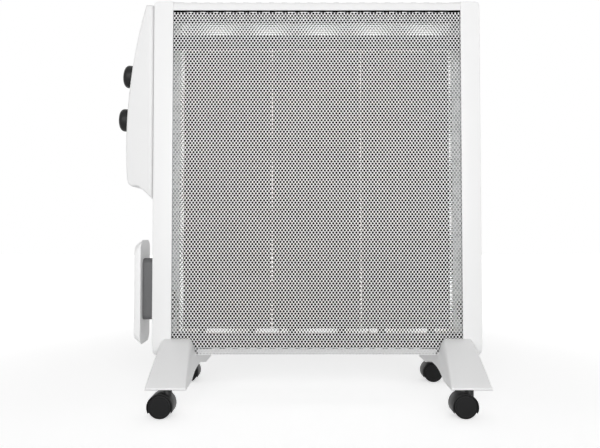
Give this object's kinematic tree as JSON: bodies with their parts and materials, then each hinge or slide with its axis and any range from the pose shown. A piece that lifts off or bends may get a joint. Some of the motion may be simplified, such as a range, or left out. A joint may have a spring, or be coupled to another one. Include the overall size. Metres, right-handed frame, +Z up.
{
  "type": "portable electric radiator",
  "caption": "Slim portable electric panel radiator: perforated grilles between side pillars, a side control box with dials, a cord winder, and arched feet on swivelling castors.",
  "frame": {"origin": "on the floor, under the middle of the overall box, dials and castors included", "axes": "+Z up from the floor, +X along the width towards the plain right pillar, -X towards the control box, -Y towards the front grille"},
  "size_m": [0.586, 0.236, 0.641],
  "materials": {
    "white_plastic": "white moulded plastic with a fine satin gloss",
    "white_paint": "white powder coat, satin",
    "galvanised_steel": "galvanised sheet, dull",
    "bright_steel": "zinc plated, satin",
    "dark_steel": "dark heat-proof paint, matt",
    "mica_board": "dark mica board, dull with a faint sparkle",
    "ceramic_liner": "unglazed ceramic",
    "phenolic": "brown-grey moulding, matt",
    "lead_jacket": "pale silicone, matt",
    "black_plastic": "black plastic, satin",
    "black_tread": "black nylon wheel, satin",
    "grey_plastic": "dark grey plastic, matt",
    "amber_lens": "clear amber lens, gloss"
  },
  "bodies": {
    "body": {"left_pillar": "white_plastic", "right_pillar": "white_plastic", "left_end_plate": "galvanised_steel", "right_end_plate": "galvanised_steel", "body_screws": "bright_steel", "front_grille": "white_paint", "rear_grille": "white_paint", "top_grille": "white_paint", "vent_channel": "dark_steel", "bottom_tray": "white_paint", "upper_element_rail": "dark_steel", "lower_element_rail": "dark_steel", "heating_panel_left": "mica_board", "heating_panel_centre": "mica_board", "heating_panel_right": "mica_board", "panel_clips": "dark_steel", "ceramic_insulators": "ceramic_liner", "terminal_block": "phenolic", "tip_over_switch": "phenolic", "thermal_cutout": "phenolic", "element_leads": "lead_jacket", "control_box": "white_plastic", "control_box_back": "white_plastic", "cord_gland": "black_plastic", "thermostat": "phenolic", "power_switch": "phenolic", "pilot_lamp": "amber_lens", "winder_post": "grey_plastic", "winder_flange": "white_plastic", "winder_screws": "bright_steel", "left_foot": "white_plastic", "right_foot": "white_plastic", "foot_screws": "bright_steel", "front_left_castor_stem": "bright_steel", "front_right_castor_stem": "bright_steel", "rear_left_castor_stem": "bright_steel", "rear_right_castor_stem": "bright_steel"},
    "thermostat_dial": {"thermostat_knob": "black_plastic", "thermostat_spindle": "bright_steel"},
    "power_dial": {"power_knob": "black_plastic", "power_spindle": "bright_steel"},
    "front_left_swivel": {"front_left_castor_hood": "black_plastic", "front_left_castor_axle": "bright_steel"},
    "front_left_front_wheel": {"front_left_castor_front_wheel": "black_tread"},
    "front_left_rear_wheel": {"front_left_castor_rear_wheel": "black_tread"},
    "front_right_swivel": {"front_right_castor_hood": "black_plastic", "front_right_castor_axle": "bright_steel"},
    "front_right_front_wheel": {"front_right_castor_front_wheel": "black_tread"},
    "front_right_rear_wheel": {"front_right_castor_rear_wheel": "black_tread"},
    "rear_left_swivel": {"rear_left_castor_hood": "black_plastic", "rear_left_castor_axle": "bright_steel"},
    "rear_left_front_wheel": {"rear_left_castor_front_wheel": "black_tread"},
    "rear_left_rear_wheel": {"rear_left_castor_rear_wheel": "black_tread"},
    "rear_right_swivel": {"rear_right_castor_hood": "black_plastic", "rear_right_castor_axle": "bright_steel"},
    "rear_right_front_wheel": {"rear_right_castor_front_wheel": "black_tread"},
    "rear_right_rear_wheel": {"rear_right_castor_rear_wheel": "black_tread"}
  },
  "joints": [
    {"name": "thermostat_dial_turn", "type": "hinge", "parent": "body", "child": "thermostat_dial", "pos_m": [-0.26821, 0, 0.5249], "axis": [0.991, 0, -0.1342], "range_deg": [0, 270]},
    {"name": "power_dial_turn", "type": "hinge", "parent": "body", "child": "power_dial", "pos_m": [-0.27491, 0, 0.4533], "axis": [0.9986, 0, -0.052], "range_deg": [0, 90]},
    {"name": "front_left_castor_swivel", "type": "hinge", "parent": "body", "child": "front_left_swivel", "pos_m": [-0.18888, -0.104, 0.036], "axis": [0, 0, 1], "continuous": true},
    {"name": "front_left_front_wheel_roll", "type": "hinge", "parent": "front_left_swivel", "child": "front_left_front_wheel", "pos_m": [-0.19739, -0.11365, 0.017], "axis": [0, 1, 0], "continuous": true},
    {"name": "front_left_rear_wheel_roll", "type": "hinge", "parent": "front_left_swivel", "child": "front_left_rear_wheel", "pos_m": [-0.19739, -0.09435, 0.017], "axis": [0, 1, 0], "continuous": true},
    {"name": "front_right_castor_swivel", "type": "hinge", "parent": "body", "child": "front_right_swivel", "pos_m": [0.25111, -0.104, 0.036], "axis": [0, 0, 1], "continuous": true},
    {"name": "front_right_front_wheel_roll", "type": "hinge", "parent": "front_right_swivel", "child": "front_right_front_wheel", "pos_m": [0.24261, -0.11365, 0.017], "axis": [0, 1, 0], "continuous": true},
    {"name": "front_right_rear_wheel_roll", "type": "hinge", "parent": "front_right_swivel", "child": "front_right_rear_wheel", "pos_m": [0.24261, -0.09435, 0.017], "axis": [0, 1, 0], "continuous": true},
    {"name": "rear_left_castor_swivel", "type": "hinge", "parent": "body", "child": "rear_left_swivel", "pos_m": [-0.18888, 0.104, 0.036], "axis": [0, 0, 1], "continuous": true},
    {"name": "rear_left_front_wheel_roll", "type": "hinge", "parent": "rear_left_swivel", "child": "rear_left_front_wheel", "pos_m": [-0.19739, 0.09435, 0.017], "axis": [0, 1, 0], "continuous": true},
    {"name": "rear_left_rear_wheel_roll", "type": "hinge", "parent": "rear_left_swivel", "child": "rear_left_rear_wheel", "pos_m": [-0.19739, 0.11365, 0.017], "axis": [0, 1, 0], "continuous": true},
    {"name": "rear_right_castor_swivel", "type": "hinge", "parent": "body", "child": "rear_right_swivel", "pos_m": [0.25111, 0.104, 0.036], "axis": [0, 0, 1], "continuous": true},
    {"name": "rear_right_front_wheel_roll", "type": "hinge", "parent": "rear_right_swivel", "child": "rear_right_front_wheel", "pos_m": [0.24261, 0.09435, 0.017], "axis": [0, 1, 0], "continuous": true},
    {"name": "rear_right_rear_wheel_roll", "type": "hinge", "parent": "rear_right_swivel", "child": "rear_right_rear_wheel", "pos_m": [0.24261, 0.11365, 0.017], "axis": [0, 1, 0], "continuous": true}
  ]
}
